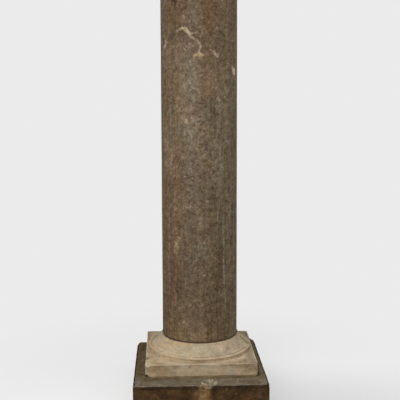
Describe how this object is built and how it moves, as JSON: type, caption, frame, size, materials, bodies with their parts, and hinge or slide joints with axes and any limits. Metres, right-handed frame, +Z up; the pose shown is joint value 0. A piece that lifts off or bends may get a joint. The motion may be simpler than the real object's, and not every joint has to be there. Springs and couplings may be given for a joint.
{
  "type": "marble column",
  "caption": "Plain round brown marble shaft on a pale moulded base with a square plinth, set on a chipped dark stone block; stands by its own weight as a column or pedestal.",
  "frame": {"origin": "on the floor, under the middle of the footing block", "axes": "+Z up along the shaft, +X to the right and -Y towards the viewer, who faces the chipped front of the block"},
  "size_m": [0.505, 0.546, 2.027],
  "materials": {
    "brown_marble": "dull worn polish, finely speckled and mottled brown and grey-green with a few pale veins",
    "cream_marble": "matt, weathered cream with brown dirt in the hollows and worn arrises",
    "dark_stone": "rough, dark brown with a dusty grey top and paler chips"
  },
  "bodies": {
    "root": {"column_shaft": "brown_marble", "moulded_base": "cream_marble", "footing_block": "dark_stone"}
  },
  "joints": []
}
